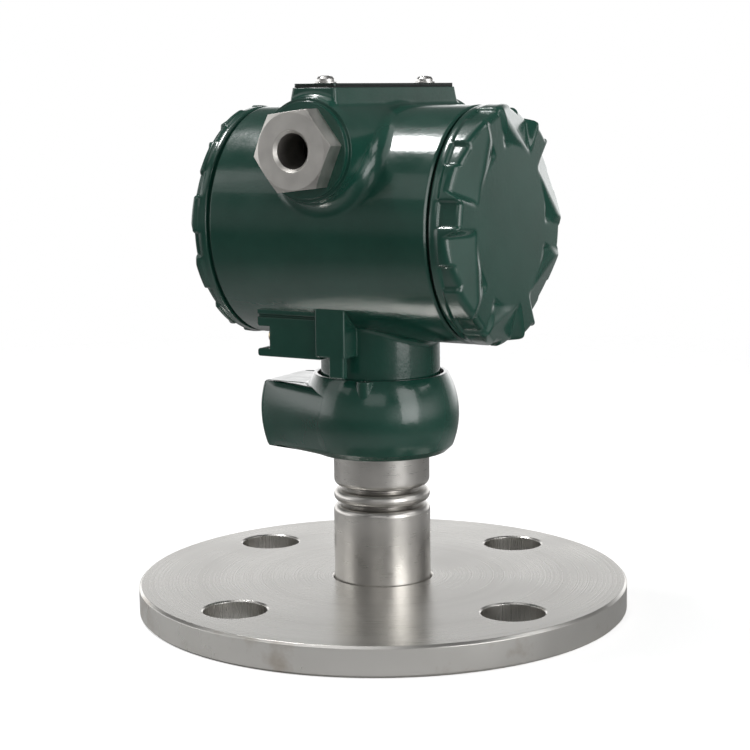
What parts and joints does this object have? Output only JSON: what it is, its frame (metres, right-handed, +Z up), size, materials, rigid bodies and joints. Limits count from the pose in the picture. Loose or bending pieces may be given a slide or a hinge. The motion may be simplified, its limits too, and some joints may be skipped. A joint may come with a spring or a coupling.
{
  "type": "flange-mounted pressure transmitter",
  "caption": "Flanged pressure transmitter with a two-compartment screw-cover housing, cable gland, swivelling neck and finned stainless stem.",
  "frame": {"origin": "centre of the process flange's underside", "axes": "+Z up along the stem, X along the housing's barrel with the deeper cover at +X, -Y towards the cable gland"},
  "size_m": [0.165, 0.165, 0.1774],
  "materials": {
    "flange_steel": "lathe-turned stainless, satin",
    "turned_steel": "turned stainless, satin",
    "diaphragm_steel": "thin bright foil",
    "green_paint": "glossy dark green powder coat",
    "gland_steel": "matt stainless",
    "plug_steel": "matt stainless",
    "screw_steel": "bright small hardware",
    "plated_brass": "nickel-tinted brass",
    "black_rubber": "matt",
    "plate_metal": "bare thin plate",
    "black_plastic": "moulded",
    "button_plastic": "moulded"
  },
  "bodies": {
    "base": {"process_flange": "flange_steel", "stem": "turned_steel", "seal_diaphragm": "diaphragm_steel", "fill_tube": "turned_steel", "sensor_cell": "turned_steel", "sensor_body": "green_paint", "swivel_stop_screw": "screw_steel"},
    "housing": {"housing": "green_paint", "neck_o_ring": "black_rubber", "gland_bush": "black_rubber", "blanking_plug": "plug_steel", "plug_seal": "black_rubber", "plate_gasket": "black_rubber", "top_plate": "plate_metal", "plate_washers": "screw_steel", "plate_screws": "screw_steel", "terminal_block": "black_plastic", "terminal_clamps": "plated_brass", "terminal_screws": "plated_brass", "electronics_module": "black_plastic", "module_screws": "screw_steel", "inner_ground_screw": "plated_brass", "inner_ground_washer": "plated_brass", "outer_ground_screw": "plated_brass", "outer_ground_washer": "plated_brass", "zero_spring": "screw_steel", "span_spring": "screw_steel"},
    "front_seal": {"front_cover_seal": "black_rubber"},
    "front_cover": {"front_cover": "green_paint"},
    "rear_seal": {"rear_cover_seal": "black_rubber"},
    "rear_cover": {"rear_cover": "green_paint"},
    "gland_slip": {"gland_washer": "gland_steel"},
    "gland": {"gland_nut": "gland_steel"},
    "zero_button": {"zero_button": "button_plastic"},
    "span_button": {"span_button": "button_plastic"}
  },
  "joints": [
    {"name": "housing_swivel", "type": "hinge", "parent": "base", "child": "housing", "pos_m": [0, 0, 0.0764], "axis": [0, 0, 1], "range_deg": [-180, 180]},
    {"name": "front_cover_travel", "type": "slide", "parent": "housing", "child": "front_seal", "axis": [1, 0, 0], "range_m": [0, 0.0101]},
    {"name": "front_cover_turn", "type": "hinge", "parent": "front_seal", "child": "front_cover", "pos_m": [0.0374, 0, 0.1296], "axis": [1, 0, 0], "range_deg": [0, 1800]},
    {"name": "rear_cover_travel", "type": "slide", "parent": "housing", "child": "rear_seal", "axis": [-1, 0, 0], "range_m": [0, 0.0101]},
    {"name": "rear_cover_turn", "type": "hinge", "parent": "rear_seal", "child": "rear_cover", "pos_m": [-0.0419, 0, 0.1296], "axis": [-1, 0, 0], "range_deg": [0, 1800]},
    {"name": "gland_travel", "type": "slide", "parent": "housing", "child": "gland_slip", "axis": [0, -1, 0], "range_m": [0, 0.004]},
    {"name": "gland_turn", "type": "hinge", "parent": "gland_slip", "child": "gland", "pos_m": [0, -0.047, 0.1547], "axis": [0, -1, 0], "range_deg": [0, 965]},
    {"name": "zero_press", "type": "slide", "parent": "housing", "child": "zero_button", "axis": [0, 0, -1], "range_m": [0, 0.002], "stiffness_N_per_m": 300, "springref_m": -0.002, "deforming": ["zero_spring"]},
    {"name": "span_press", "type": "slide", "parent": "housing", "child": "span_button", "axis": [0, 0, -1], "range_m": [0, 0.002], "stiffness_N_per_m": 300, "springref_m": -0.002, "deforming": ["span_spring"]}
  ],
  "couplings": [
    {"joint": "front_cover_travel", "follows": "front_cover_turn", "m_per_rad": 0.00031831},
    {"joint": "rear_cover_travel", "follows": "rear_cover_turn", "m_per_rad": 0.00031831},
    {"joint": "gland_turn", "follows": "gland_travel", "rad_per_m": 4188.8}
  ]
}
